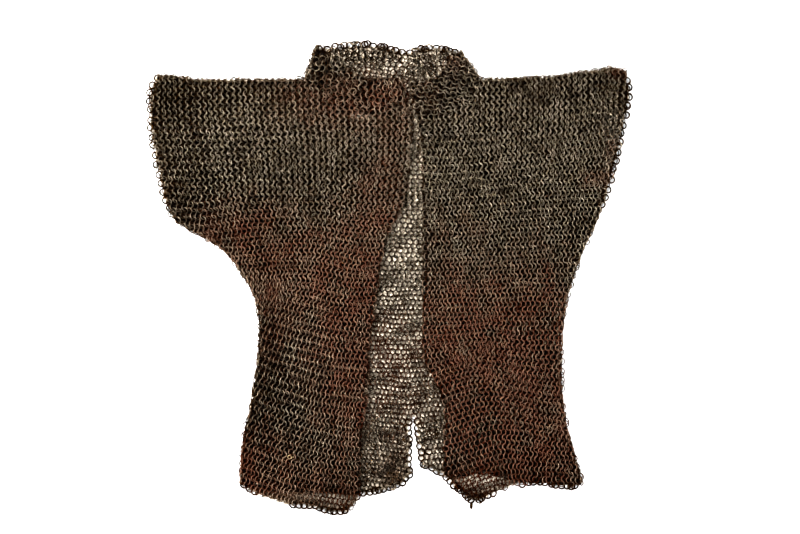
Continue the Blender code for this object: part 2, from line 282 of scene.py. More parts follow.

# Places where the links' crowns are painted darker, for duller mail and for painted shade, or
# brighter, as painted light, where it is below 0.
DULL_AND_SHADED = (
    Patch(-385, 300, 25, 50, 0.2),
    Patch(-350, 180, 30, 120, 0.2),
    Patch(-320, 115, 40, 35, 0.15),
    Patch(-268, 70, 22, 22, 0.2),
    Patch(-310, 295, 40, 35, 0.18),
    Patch(-190, 315, 100, 20, 0.2),
    Patch(-140, 160, 60, 50, 0.16),
    Patch(-198, -90, 22, 120, 0.3),
    Patch(-240, -230, 16, 90, 0.3),
    Patch(-150, -260, 80, 110, 0.08),
    Patch(-88, -366, 34, 16, 0.65),
    Patch(150, -338, 36, 17, 0.85),
    Patch(270, -320, 60, 35, 0.22),
    Patch(210, 315, 110, 20, 0.22),
    Patch(385, 320, 25, 40, 0.2),
    Patch(80, 335, 70, 35, -0.2),
    Patch(50, 140, 25, 60, -0.12),
    Patch(-60, 265, 35, 15, -0.15),
    Patch(-8, -265, 20, 50, -0.22),
    Patch(38, 195, 10, 60, -0.25),
    Patch(35, -30, 16, 45, -0.2),
    Patch(10, 64, 16, 40, -0.2),
    Patch(55, -60, 14, 30, -0.1),
    Patch(10, -134, 18, 25, 0.15),
    Patch(-30, -215, 12, 60, -0.15),
    Patch(89, -253, 14, 25, -0.2),
    Patch(10, 345, 18, 14, 0.15),
    Patch(350, 245, 35, 30, 0.12),
    Patch(52, 342, 14, 14, -0.2),
)

# Places where the back's mail is drawn together and lets little light through: the table under
# it is painted in deeper shade.
CLOSE_MAIL_SHADE = (
    Patch(-25, -310, 30, 60, 0.08),
    Patch(10, -335, 18, 40, 0.3),
    Patch(78, -215, 16, 40, 0.04),
    Patch(10, 330, 30, 14, 0.1),
    Patch(20, 385, 90, 12, 0.2),
)

# Places where the front's mail lets light in: the table under it is painted lighter.
OPEN_MAIL_LIGHT = (
    Patch(-90, -364, 30, 16, 0.27),
    Patch(-140, -360, 34, 6, 0.16),
    Patch(155, -332, 32, 15, 0.5),
    Patch(-50, 268, 15, 5, 0.7),
    Patch(366, 235, 12, 60, 0.6),
)

# How deep the shade painted on the table is, from 0 in the open to 1 under two layers.
RIM_SHADE = 0.15           # under the outermost links, painted bright and half glowing
BACK_SHADE = 0.5           # under the back alone
CLOSE_SHADE = 0.33         # how much deeper it is at most where the back is drawn together
THROWN_SHADE = 0.64        # a shadow painted where a front's edge throws it on the back
BRINK_SHADE = 0.8          # under that edge
FRONT_SHADE = 0.95         # under a front alone
SHADOW = 4.0               # how far the painted shadow of the fronts' edges reaches (mm)
SHADOW_TOP = 170.0         # above this height the opening is too narrow for it (mm)


# ------------------------------------------------------------------ small helpers

def unit(vectors):
    return vectors / np.linalg.norm(vectors, axis=-1, keepdims=True)


def ripples(seed, length, waves=9):
    """A smooth field over the plan, about -1 to 1, of waves near the given length."""
    rng = np.random.default_rng(seed)
    heading = rng.uniform(0, 2 * math.pi, waves)
    number = 2 * math.pi / (length * rng.uniform(0.7, 1.6, waves))
    phase = rng.uniform(0, 2 * math.pi, waves)

    def field(x, y):
        total = 0
        for h, k, p in zip(heading, number, phase):
            total = total + np.sin(k * (x * math.cos(h) + y * math.sin(h)) + p)
        return total / math.sqrt(2 * waves)

    return field


def bump(patch, x, y):
    """A soft hump over the plan, 1 at its middle."""
    return np.exp(-0.5 * (((x - patch.x) / patch.reach_x) ** 2
                          + ((y - patch.y) / patch.reach_y) ** 2))


def smoothstep(value, start, end):
    f = np.clip((value - start) / (end - start), 0, 1)
    return f * f * (3 - 2 * f)


def everywhere(x, y):
    """The part of a wall that is all of it."""
    return True


def plan_box(node):
    """The two corners of a node's box in plan (mm)."""
    return [np.array(corner[:2]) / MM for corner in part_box(node)]


def fold_level():
    """The height at which the mail turns over in every fold: halfway up the collar (m)."""
    low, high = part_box("collar")
    return (low[2] + high[2]) / 2


# ------------------------------------------------------------------ walls of the frame

class Layer:
    """One layer of the garment seen in plan: which wall lies at a place, and how high."""

    def __init__(self, nodes, upper):
        self.upper = upper
        self.walls = []
        for name in nodes:
            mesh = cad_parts[name].data
            corners = [v.co.copy() for v in mesh.vertices]
            faces = [tuple(p.vertices) for p in mesh.polygons]
            low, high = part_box(name)
            self.walls.append((name, BVHTree.FromPolygons(corners, faces), low, high))

    def at(self, x, y):
        """The wall at a place (mm), its foot and its top (m), or None off the garment."""
        x, y = x * MM, y * MM
        away = 1.0 if self.upper else -1.0
        for name, tree, low, high in self.walls:
            if not (low[0] <= x <= high[0] and low[1] <= y <= high[1]):
                continue
            near = tree.ray_cast(Vector((x, y, away)), Vector((0, 0, -away)))[0]
            if near is None or (name == "collar" and (near.z > COLLAR_SPLIT) != self.upper):
                continue
            inside = Vector((x, y, near.z - away * INTO))
            far = tree.ray_cast(inside, Vector((0, 0, -away)))[0]
            if far is not None:
                return name, min(near.z, far.z), max(near.z, far.z)
        return None

    def found(self, x, y):
        """As at(), but the fine gaps between walls count as mail too."""
        dx, dy = SEAM
        return self.at(x, y) or self.at(x + dx, y + dy) or self.at(x - dx, y - dy)

    def clear(self, x, y, reach, fold=None):
        """Whether the mail goes on all round a place, as far as the reach (mm).

        Over a fold, whose outward way is given, it needn't; where the other layer goes
        on under the edge, as at the fronts' opening, less room will do.
        """
        for way in COMPASS:
            if fold is not None and way[0] * fold[0] + way[1] * fold[1] > OVER_FOLD:
                continue
            far = x + reach * way[0], y + reach * way[1]
            if self.found(*far):
                continue
            if not self.upper or not BACK.found(*far):
                return False
            if not self.found(x + BRINK * way[0], y + BRINK * way[1]):
                return False
        return True


FRONT = Layer(("front_right", "front_left", "sleeve_right_front", "sleeve_left_front",
               "collar"), upper=True)
BACK = Layer(("back", "sleeve_right_back", "sleeve_left_back", "collar"), upper=False)


Edge = namedtuple("Edge", "start end outward foot top")


def upright_edges(name, layer):
    """The upright border of a wall in plan (mm), as short edges with their outward way."""
    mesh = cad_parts[name].data
    edges = []
    for face in mesh.polygons:
        if abs(face.normal.z) > UPRIGHT:
            continue
        corners = sorted((mesh.vertices[v].co for v in face.vertices), key=lambda c: -c.z)
        a, b, foot = corners[:3]
        top = (a.z + b.z) / 2
        slope = abs(a.z - b.z)
        fits = (slope <= BORDER_SLOPE * (top - foot.z)
                and (top > COLLAR_SPLIT) == layer.upper)
        if not fits and (name == "collar" or not layer.upper or slope > LEVEL):
            continue
        outward = np.array(face.normal[:2])
        outward = outward / max(np.linalg.norm(outward), 1e-9)
        a, b = np.array(a[:2]) / MM, np.array(b[:2]) / MM
        if np.linalg.norm(b - a) < SHORTEST_EDGE:
            continue
        if outward[0] * (b - a)[1] - outward[1] * (b - a)[0] < 0:
            a, b = b, a
        edges.append(Edge(a, b, outward, foot.z, top))
    return edges


def is_fold(edge):
    return edge.top - edge.foot < FOLD_BORDER


def is_open(edge, layer):
    """Whether an edge is a hem, a cuff or a rim: the fronts' opening is woven to its brink."""
    x, y = (edge.start + edge.end) / 2 + BEYOND * edge.outward
    brink = layer.upper and BACK.found(x, y) is not None
    return not is_fold(edge) and not brink and layer.found(x, y) is None


def fold_of_collar():
    """The outermost line of the collar's two folds."""
    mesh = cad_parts["collar"].data
    low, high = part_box("collar")
    middle = fold_level()
    seen = set()
    edges = []
    for edge in mesh.edges:
        a, b = (mesh.vertices[v].co for v in edge.vertices)
        key = frozenset((round(c.x, 5), round(c.y, 5)) for c in (a, b))
        if max(abs(a.z - middle), abs(b.z - middle)) > SAME_HEIGHT or key in seen:
            continue
        seen.add(key)
        side = 1.0 if a.x > 0 else -1.0
        a, b = np.array(a[:2]) / MM, np.array(b[:2]) / MM
        if side * (b[1] - a[1]) < 0:
            a, b = b, a
        outward = np.array([(b - a)[1], -(b - a)[0]]) / max(np.linalg.norm(b - a), 1e-9)
        edges.append(Edge(a, b, outward, low[2], high[2]))
    return edges


def folds_of(node):
    if node == "collar":
        return fold_of_collar()
    return [edge for edge in upright_edges(node, FRONT) if is_fold(edge)]


class Folds:
    """Every fold of the garment, to find how far inside the nearest one a place lies."""

    def __init__(self, nodes):
        edges = [edge for node in nodes for edge in folds_of(node)]
        self.middle = np.array([(edge.start + edge.end) / 2 for edge in edges])
        self.outward = np.array([edge.outward for edge in edges])
        self.half = np.array([np.linalg.norm(edge.end - edge.start) / 2 for edge in edges])

    def near(self, x, y, reach):
        """Distance inside the nearest fold (mm) and its outward way, or None."""
        away = self.middle - (x, y)
        inside = np.einsum("ij,ij->i", away, self.outward)
        aside = np.sqrt(np.clip(np.einsum("ij,ij->i", away, away) - inside ** 2, 0, None))
        fits = (inside > 0) & (inside < reach) & (aside < self.half + PAST_END)
        if not fits.any():
            return None
        best = np.argmin(np.where(fits, inside, np.inf))
        return inside[best], self.outward[best]


def chains(edges):
    """Edges joined end to end into long runs."""
    def key(point):
        return tuple(np.round(point / SAME_PLACE).astype(int))

    following = {key(edge.start): edge for edge in edges}
    ends = {key(edge.end) for edge in edges}
    starts = [edge for edge in edges if key(edge.start) not in ends]
    used = set()
    runs = []
    for first in [*starts, *edges]:
        run = []
        edge = first
        while edge is not None and id(edge) not in used:
            used.add(id(edge))
            run.append(edge)
            edge = following.get(key(edge.end))
        if run:
            runs.append(run)
    return runs


def steps_along(run, spacing, rng, unevenness):
    """Places at uneven steps along a run of edges, half a step in from its ends."""
    lengths = [np.linalg.norm(edge.end - edge.start) for edge in run]
    total = sum(lengths)
    wanted = 0.5 * spacing(run[0])
    done = 0.0
    places = []
    for edge, length in zip(run, lengths):
        while wanted <= done + length:
            f = (wanted - done) / max(length, 1e-9)
            places.append((edge.start + f * (edge.end - edge.start), edge))
            wanted += spacing(edge) * (1 + rng.uniform(-unevenness, unevenness))
        done += length
    return places if total > SHORTEST_RUN else []


FOLDS = Folds(("front_right", "front_left", "sleeve_right_front", "sleeve_left_front",
               "collar"))


# ------------------------------------------------------------------ links

class Links:
    """Rings of wire gathered for one piece: places, directions, sizes, and the feet from which
    their rubbing and painted shade count.
    """

    def __init__(self, seed):
        self.rng = np.random.default_rng(seed)
        self.centre = []
        self.across = []
        self.along = []
        self.radius = []
        self.foot = []
        self.wire = []

    def add(self, centre, across, along, radius, foot, wire=1.0):
        """One ring: its centre and radius (m), and the two ways that span its plane.

        foot is the height from which its rubbing and painted shade and highlight count (m),
        and wire is how thick its wire is against the usual one.
        """
        self.centre.append(centre)
        self.across.append(across)
        self.along.append(along)
        self.radius.append(radius)
        self.foot.append(foot)
        self.wire.append(wire)

    def __len__(self):
        return len(self.centre)


class Weave:
    """Four-in-one mail spread over the plan: rows of links, each half a pitch off."""

    def __init__(self, name):
        self.name = name
        self.middle = MIDDLE[name]
        self.turn = TURN[name]
        spacing = sorted(SPACING[name])
        self.heights = [s.height for s in spacing]
        self.columns = [s.column for s in spacing]
        self.row_pitch = [s.row for s in spacing]
        seed = sum(map(ord, name))
        self.wander_x = ripples(seed, WAVES)
        self.wander_y = ripples(seed + 1, WAVES)

    def place(self, number, height):
        """Plan place of a link (mm), from its number in its row and the row's height."""
        pitch = np.interp(height, self.heights, self.columns)
        x = self.middle + number * pitch
        y = np.full_like(x, height)
        drags = [(drag, bump(drag, x, y)) for drag in DRAGS[self.name]]
        lift = sum((drag.lift + drag.tilt * (x - drag.x)) * share for drag, share in drags)
        shift = sum(-drag.slant * (y - drag.y) * share for drag, share in drags)
        if self.name == "right":
            beyond = np.clip(SWEEP_START - x, 0, SWEEP_WIDTH)
            lift = lift + SWEEP_RISE * beyond ** 2 * (1 - smoothstep(y, *SWEEP_HEIGHTS))
        neck = smoothstep(y, *NECK_HEIGHTS) * (abs(x) < NECK_HALF)
        wander = WANDER[self.name] + NECK_WANDER * neck
        x, y = (x + shift + wander * self.wander_x(x, y),
                y + lift + wander * self.wander_y(x, y))
        c, s = math.cos(self.turn), math.sin(self.turn)
        return np.stack([c * x - s * y, s * x + c * y], -1)

    def rows(self):
        """Each row: whether it is odd, its places, the way its links face there, between
        up the column and square to the row, and how far apart they are."""
        height = self.heights[-1] + MARGIN
        row = 0
        while height > self.heights[0] - MARGIN:
            numbers = np.arange(-MOST_COLUMNS, MOST_COLUMNS + 1) + (0.5 if row % 2 else 0.0)
            ahead = self.place(numbers + 0.5, height) - self.place(numbers - 0.5, height)
            pitch = np.linalg.norm(ahead, axis=-1)
            up = unit(self.place(numbers, height + 1) - self.place(numbers, height - 1))
            square = np.stack([-ahead[:, 1], ahead[:, 0]], -1) / pitch[:, None]
            facing = unit(COLUMN_SHARE * up + (1 - COLUMN_SHARE) * square)
            yield row % 2, self.place(numbers, height), facing, pitch
            height -= np.interp(height, self.heights, self.row_pitch)
            row += 1


WEAVES = {name: Weave(name) for name in SPACING}


def mail_settings():
    return bpy.context.scene.mail_sizes


def has_room(layer, x, y, fold, loose):
    """Whether a woven link fits at a place, clear of cut edges, folds and edge links."""
    sizes = mail_settings()
    if fold and fold[0] < FOLD_ROOM:
        return False
    reach = sizes.edge_reach / MM + CUFF_ROOM * (abs(x) > CUFF)
    if not layer.clear(x, y, reach, fold and fold[1]):
        return False
    return not len(loose) or np.min(np.hypot(*(loose - (x, y)).T)) >= sizes.edge_room / MM


def lean_of_link(rng, upper, odd, pitch, spread):
    """How far a woven link leans along its row, the other way in every other row."""
    sizes = mail_settings()
    squeezed = sizes.lean + sizes.squeezed_lean * (OPEN_PITCH - pitch)
    lean = (squeezed if upper else sizes.back_lean) + rng.normal(0, spread)
    if rng.random() < sizes.loose_share:
        lean *= rng.uniform(0, FLATTEST)
    return -lean if odd else lean


def lay_weave(links, weave, layer, node, part, loose, disorder=1.0):
    """Lays the links of a weave over one wall of a layer, up to its loose edge links.

    loose holds the places (mm) of the edge links; disorder makes the weave less even.
    """
    sizes = mail_settings()
    rng = links.rng
    spread = disorder * sizes.lean_spread
    lift = sizes.front_lift if layer.upper else sizes.back_lift
    wire = 1.0 if layer.upper else sizes.back_wire
    low, high = plan_box(node)
    for odd, places, ways, pitches in WEAVES[weave].rows():
        for (x, y), way, pitch in zip(places, ways, pitches):
            if not (low[0] <= x <= high[0] and low[1] <= y <= high[1] and part(x, y)):
                continue
            found = layer.found(x, y)
            if found is None or found[0] != node:
                continue
            fold = FOLDS.near(x, y, ROLL)
            if not has_room(layer, x, y, fold, loose):
                continue
            lean = lean_of_link(rng, layer.upper, odd, pitch, spread)
            twist = rng.normal(0, TWIST_SHARE * spread)
            nod = rng.normal(0, NOD_SHARE * spread)
            column_way = np.array([way[0] * math.cos(twist) - way[1] * math.sin(twist),
                                   way[0] * math.sin(twist) + way[1] * math.cos(twist), 0.0])
            row_way = np.array([column_way[1], -column_way[0], 0.0])
            across = math.cos(lean) * row_way + math.sin(lean) * UP
            along = math.cos(nod) * column_way + math.sin(nod) * UP
            along = unit(along - along.dot(across) * across)
            foot, top = found[1:]
            centre = np.array([x * MM, y * MM, (foot + top) / 2 + lift])
            if fold:
                across, along, centre = rolled(across, along, centre, fold, layer.upper)
            centre += rng.normal(0, disorder * sizes.shake, 3)
            radius = sizes.link_radius * (1 + rng.normal(0, RADIUS_SPREAD))
            centre[2] = max(centre[2], depth_of_link(radius, across, along, wire))
            links.add(centre, across, along, radius, foot, wire)


def depth_of_link(radius, across, along, wire=1.0):
    """How far a link reaches below its middle, with its wire at its widest (m)."""
    widest = mail_settings().wire_radius * DRAWN_WIDER * wire * LAP
    return radius * math.hypot(across[2], along[2]) + widest


def rolled(across, along, centre, fold, upper):
    """A link near a fold, turned over it as far as the mail there has turned."""
    inside, outward = fold
    turned = math.asin(1 - inside / ROLL)
    out = np.array([*outward, 0.0])
    down = -UP if upper else UP

    def turn(way):
        a, b = way.dot(out), way.dot(down)
        rest = way - a * out - b * down
        return (rest + out * (a * math.cos(turned) - b * math.sin(turned))
                + down * (b * math.cos(turned) + a * math.sin(turned)))

    middle = fold_level()
    centre = centre.copy()
    centre[2] = middle + (centre[2] - middle) * math.cos(turned)
    return turn(across), turn(along), centre


def lay_edges(links, layer, node, part, disorder=1.0, pitch=EDGE_PITCH):
    """Lays loose links round the cut edges of a wall, and gives their places (mm)."""
    sizes = mail_settings()
    rng = links.rng
    edges = [edge for edge in upright_edges(node, layer) if is_open(edge, layer)]
    if not layer.upper:
        # A cuff's edge links join its two layers, and come with the upper one.
        edges = [edge for edge in edges if abs(edge.start[0]) < CUFF]
    laid = []

    def spacing(edge):
        sparser = CUFF_SPARSER if abs(edge.start[0]) > CUFF else 1.0
        return pitch + sparser * abs(edge.outward[0])

    for run in chains(edges):
        for place, edge in steps_along(run, spacing, rng, UNEVEN * disorder):
            if not part(*place):
                continue
            outward = np.array([*edge.outward, 0.0])
            tangent = np.array([-edge.outward[1], edge.outward[0], 0.0])
            roll = EDGE_ROLL + SIDE_ROLL * abs(edge.outward[0])
            roll = rng.normal(roll, ROLL_SPREAD * disorder)
            yaw = rng.normal(0, YAW_SPREAD * disorder)
            tangent = math.cos(yaw) * tangent + math.sin(yaw) * outward
            outward = np.cross(tangent, UP)
            across = math.cos(roll) * outward - math.sin(roll) * UP
            radius = sizes.link_radius * (1 + rng.normal(0, EDGE_RADIUS_SPREAD))
            inset = radius * math.cos(roll) + sizes.wire_radius - EDGE_OVERLAP
            inset += rng.normal(EDGE_INSET[0], EDGE_INSET[1] * disorder)
            centre = np.array([*(place * MM), 0.0]) - outward * inset
            if not layer.found(*(centre[:2] / MM)):
                continue
            depth = depth_of_link(radius, across, tangent, sizes.edge_wire)
            centre[2] = max(depth, edge.foot + EDGE_RISE + rng.normal(0, EDGE_UNEVEN))
            # Painted shade: a higher foot makes the link darker.
            shade_drop = CUFF_SHADE_DROP if abs(edge.start[0]) > CUFF else EDGE_SHADE_DROP
            links.add(centre, across, tangent, radius, edge.foot + shade_drop, sizes.edge_wire)
            laid.append(centre[:2] / MM)
    return np.array(laid).reshape(-1, 2)


def lay_fold(links, edges, part):
    """Stands links on edge along a fold, where the front layer turns into the back."""
    sizes = mail_settings()
    rng = links.rng
    for run in chains(edges):
        places = steps_along(run, lambda edge: FOLD_PITCH, rng, UNEVEN)
        for step, (place, edge) in enumerate(places):
            if not part(*place):
                continue
            outward = np.array([*edge.outward, 0.0])
            tangent = np.array([-edge.outward[1], edge.outward[0], 0.0])
            lean = sizes.lean + rng.normal(0, 2 * sizes.lean_spread)
            lean = lean if step % 2 else -lean
            # A row runs along X on the flat, and is rolled down over the fold here.
            row_way = tangent[0] * tangent - outward[0] * UP
            column_way = np.cross(outward, row_way)
            across = math.cos(lean) * row_way + math.sin(lean) * outward
            radius = sizes.link_radius * (1 + rng.normal(0, RADIUS_SPREAD))
            inset = radius * abs(across.dot(outward)) + sizes.wire_radius
            centre = np.array([*(place * MM), fold_level()])
            centre -= outward * (inset + rng.normal(*FOLD_INSET))
            if not FRONT.found(*(centre[:2] / MM)):
                continue
            depth = depth_of_link(radius, across, column_way)
            centre[2] = max(centre[2] + rng.normal(0, FOLD_UNEVEN), depth)
            links.add(centre, across, column_way, radius, centre[2] - FOLD_FOOT)


def hang_last_link(links):
    """The link that hangs on edge from the tip of the left front's hem."""
    sizes = mail_settings()
    lean = math.radians(80)
    across = np.array([math.cos(lean), 0.0, math.sin(lean)])
    along = np.array([0.1, 1.0, 0.0])
    along = unit(along - along.dot(across) * across)
    height = depth_of_link(sizes.link_radius, across, along, sizes.edge_wire)
    centre = np.array([*TIP, height])
    links.add(centre, across, along, sizes.link_radius, TIP_SHADE_FOOT, sizes.edge_wire)


def rust_at(patches, x, y):
    """How rusted the mail is at plan places (mm), 0 to 1."""
    clean = np.ones_like(x)
    for patch in patches:
        clean = clean * (1 - patch.strength * bump(patch, x, y))
    # Large and small blotches, about 0 to 1, break the patches up.
    blotches = 0.5 + 0.35 * ripples(5, 45.0)(x, y) + 0.25 * ripples(6, 18.0)(x, y)
    return np.clip((1 - clean) * (0.55 + 0.9 * blotches), 0, 1)


def ring_points(links, steps):
    """Corners of the rings' wire: ring by ring, step by step, and round the wire."""
    centre, across, along = (np.array(v) for v in (links.centre, links.across, links.along))
    radius, own = np.array(links.radius), np.array(links.wire)
    normal = np.cross(across, along)
    start = links.rng.uniform(0, 2 * math.pi, len(links))
    angle = 2 * math.pi * np.arange(steps) / steps + start[:, None]
    around = 2 * math.pi * np.arange(WIRE_SIDES) / WIRE_SIDES + math.pi / 2
    lap = np.zeros(steps)
    lap[0] = 1.0
    wire = mail_settings().wire_radius * DRAWN_WIDER * own[:, None]
    wide = wire * (1 + (LAP - 1) * lap)
    thick = wire * (1 - LAP_FLATTER * lap)
    out = (np.cos(angle)[..., None] * across[:, None]
           + np.sin(angle)[..., None] * along[:, None])
    reach = radius[:, None, None] + wide[..., None] * np.cos(around)
    rise = thick[..., None] * np.sin(around)
    points = (centre[:, None, None] + out[:, :, None] * reach[..., None]
              + normal[:, None, None] * rise[..., None])
    return points.reshape(-1, 3)


def ring_faces(count, steps):
    """The four corners of each face of so many rings, in the order of ring_points."""
    ring = np.arange(count)[:, None, None] * steps * WIRE_SIDES
    here = np.arange(steps)[:, None] * WIRE_SIDES
    following = (np.arange(steps)[:, None] + 1) % steps * WIRE_SIDES
    side = np.arange(WIRE_SIDES)
    beside = (side + 1) % WIRE_SIDES
    corners = np.broadcast_arrays(ring + here + side, ring + following + side,
                                  ring + following + beside, ring + here + beside)
    return np.stack(corners, -1).reshape(-1, 4)


def unroll(mesh, count, steps):
    """Gives each ring of a mesh a cell of its own on the map."""
    cells = math.ceil(math.sqrt(count))
    ring = np.arange(count)[:, None, None, None]
    step = np.arange(steps)[:, None, None] + np.array([0, 1, 1, 0])
    side = np.arange(WIRE_SIDES)[:, None] + np.array([0, 0, 1, 1])
    margin = 0.06
    u = (ring % cells + margin + (1 - 2 * margin) * step / steps) / cells
    v = (ring // cells + margin + (1 - 2 * margin) * side / WIRE_SIDES) / cells
    uv = np.stack(np.broadcast_arrays(u, v), -1)
    mesh.uv_layers.new(name="OFBake").uv.foreach_set("vector", uv.astype(np.float32).ravel())


def paint_wear_and_shade(mesh, links, points, patches):
    """Gives the rings rust (red), height (green), which paints shade low down and a highlight on
    the rubbed crowns, and chance (blue).
    """
    count = len(links)
    per_ring = len(points) // count
    x, y = np.array(links.centre)[:, :2].T / MM
    foot = np.array(links.foot)
    rusted = rust_at(patches, x, y) + links.rng.normal(0, RUST_SPREAD, count)
    rusted = rusted * np.where(np.array(links.wire) > THICK_WIRE, EDGE_RUSTED, 1.0)
    # Height over the foot: it paints shade low down and a highlight on the crowns.
    level = (points[:, 2] - np.repeat(foot, per_ring)) / RUB_AND_LIGHT_HEIGHT
    # Duller mail and painted shade in patches, and painted shade on the links that lie on the
    # table.
    rubbed_and_lit = 1 - sum(patch.strength * bump(patch, x, y) for patch in DULL_AND_SHADED)
    rubbed_and_lit = rubbed_and_lit * np.where(foot < LOW_FOOT, LOW_LIT_SHARE, 1.0)
    wear_and_shade = np.ones((len(points), 4), np.float32)
    wear_and_shade[:, 0] = np.repeat(np.clip(rusted, 0, 1), per_ring)
    wear_and_shade[:, 1] = np.clip(level * np.repeat(rubbed_and_lit, per_ring), 0, 1)
    wear_and_shade[:, 2] = np.repeat(links.rng.random(count), per_ring)
    mesh.attributes.new("wear_and_shade", "FLOAT_COLOR", "POINT").data.foreach_set("color", wear_and_shade.ravel())


def link_mesh(name, links, steps, patches):
    """All the rings of a piece as one mesh, with its map, its rust and its painted shade and
    highlight.
    """
    points = ring_points(links, steps)
    quads = ring_faces(len(links), steps)
    mesh = bpy.data.meshes.new(name)
    mesh.vertices.add(len(points))
    mesh.vertices.foreach_set("co", points.ravel())
    mesh.loops.add(quads.size)
    mesh.loops.foreach_set("vertex_index", quads.ravel())
    mesh.polygons.add(len(quads))
    mesh.polygons.foreach_set("loop_start", np.arange(0, quads.size, 4))
    mesh.update(calc_edges=True)
    mesh.shade_smooth()
    unroll(mesh, len(links), steps)
    paint_wear_and_shade(mesh, links, points, patches)
    return mesh


# ------------------------------------------------------------------ finishes

def add_node(tree, kind, **settings):
    node = tree.nodes.new(kind)
    for key, value in settings.items():
        if key in node.inputs:
            node.inputs[key].default_value = value
        else:
            setattr(node, key, value)
    return node


def feed(tree, value, socket):
    """Sets a socket, or links it when the value is another node's output."""
    if isinstance(value, bpy.types.NodeSocket):
        tree.links.new(value, socket)
    else:
        socket.default_value = value


def mixed_colour(tree, factor, first, second, blend="MIX"):
    node = add_node(tree, "ShaderNodeMix", data_type="RGBA", blend_type=blend)
    feed(tree, factor, node.inputs["Factor"])
    feed(tree, first, node.inputs[6])
    feed(tree, second, node.inputs[7])
    return node.outputs[2]


def remapped(tree, value, from_low, from_high, to_low, to_high):
    node = add_node(tree, "ShaderNodeMapRange", clamp=True)
    tree.links.new(value, node.inputs["Value"])
    for key, number in (("From Min", from_low), ("From Max", from_high),
                        ("To Min", to_low), ("To Max", to_high)):
        node.inputs[key].default_value = number
    return node.outputs["Result"]


def combined(tree, operation, first, second):
    node = add_node(tree, "ShaderNodeMath", operation=operation)
    feed(tree, first, node.inputs[0])
    feed(tree, second, node.inputs[1])
    return node.outputs[0]


def speckle(tree, size, detail=2.0):
    """Noise over the object, of a given grain size in metres."""
    place = add_node(tree, "ShaderNodeTexCoord")
    node = add_node(tree, "ShaderNodeTexNoise", Scale=1 / size, Detail=detail)
    tree.links.new(place.outputs["Object"], node.inputs["Vector"])
    return node.outputs["Fac"]


def scaled(colour, red, green, blue):
    return colour[0] * red, colour[1] * green, colour[2] * blue, 1


def new_material(name):
    """A material, its nodes and its one shader."""
    material = bpy.data.materials.new(name)
    material.use_nodes = True
    return material, material.node_tree, material.node_tree.nodes["Principled BSDF"]


def iron_wire(name, iron, rubbed_and_lit, rust):
    """Old iron wire: painted shade where it lies low, worn bright and given a painted highlight
    on its crowns, rusted in patches.
    """
    material, tree, shader = new_material(name)
    wear_and_shade = add_node(tree, "ShaderNodeAttribute", attribute_name="wear_and_shade")
    parts = add_node(tree, "ShaderNodeSeparateColor")
    tree.links.new(wear_and_shade.outputs["Color"], parts.inputs["Color"])
    rusted, rub_and_light, chance = parts.outputs
    grain = speckle(tree, 0.0012, 3.0)
    cloud = speckle(tree, 0.018, 2.0)
    # worn runs from painted shade low down to the crowns, which are worn bright and carry a
    # painted highlight.
    worn = remapped(tree, rub_and_light, 0.36, 0.89, 0, 1)

    # Metal: crowns worn bright and painted lit, duller in clouds and on some rings, over dark
    # iron painted as shade low down.
    dull = mixed_colour(tree, remapped(tree, cloud, 0.35, 0.65, 0, 1),
                        scaled(rubbed_and_lit, 0.7, 0.68, 0.63), rubbed_and_lit)
    dull = mixed_colour(tree, remapped(tree, chance, 0, 1, 0.0, 0.4), dull,
                        scaled(rubbed_and_lit, 0.5, 0.48, 0.42))
    metal = mixed_colour(tree, worn, iron, dull)

    # Rust: a fine grain of two tones, yellower in clouds, and painted dark as shade where it
    # lies low.
    scale = mixed_colour(tree, remapped(tree, grain, 0.35, 0.7, 0, 1),
                         scaled(rust, 0.6, 0.5, 0.5), rust)
    scale = mixed_colour(tree, remapped(tree, cloud, 0.5, 0.7, 0, 0.8), scale,
                         scaled(rust, 1, 1.25, 1.05))
    scale = mixed_colour(tree, worn, scaled(rust, 0.22, 0.06, 0.02), scale)

    # The rust is broken up by the grain, and thinner on the crowns.
    kept = combined(tree, "MULTIPLY", remapped(tree, grain, 0.3, 0.6, 0.7, 1.2),
                    remapped(tree, rub_and_light, 0.6, 1.0, 1.0, 0.78))
    share = combined(tree, "MULTIPLY", rusted, kept)
    share = remapped(tree, share, 0.1, 0.95, 0.0, 0.85)
    tree.links.new(mixed_colour(tree, share, metal, scale), shader.inputs["Base Color"])
    tree.links.new(remapped(tree, share, 0, 0.9, 0.85, 0.35), shader.inputs["Metallic"])
    rough = remapped(tree, combined(tree, "ADD", share, grain), 0.3, 1.4, 0.34, 0.66)
    tree.links.new(rough, shader.inputs["Roughness"])
    shader.inputs["Specular Tint"].default_value = (1.0, 0.62, 0.25, 1)
    pits = add_node(tree, "ShaderNodeBump", Strength=0.35, Distance=0.0002)
    tree.links.new(speckle(tree, 0.0005, 3.0), pits.inputs["Height"])
    tree.links.new(pits.outputs["Normal"], shader.inputs["Normal"])
    return material


def old_brass():
    material, tree, shader = new_material("old_brass")
    shader.inputs["Metallic"].default_value = 0.7
    shader.inputs["Roughness"].default_value = 0.45
    colour = mixed_colour(tree, speckle(tree, 0.001), (0.35, 0.24, 0.12, 1),
                          (0.80, 0.62, 0.38, 1))
    tree.links.new(colour, shader.inputs["Base Color"])
    return material


# ------------------------------------------------------------------ pieces

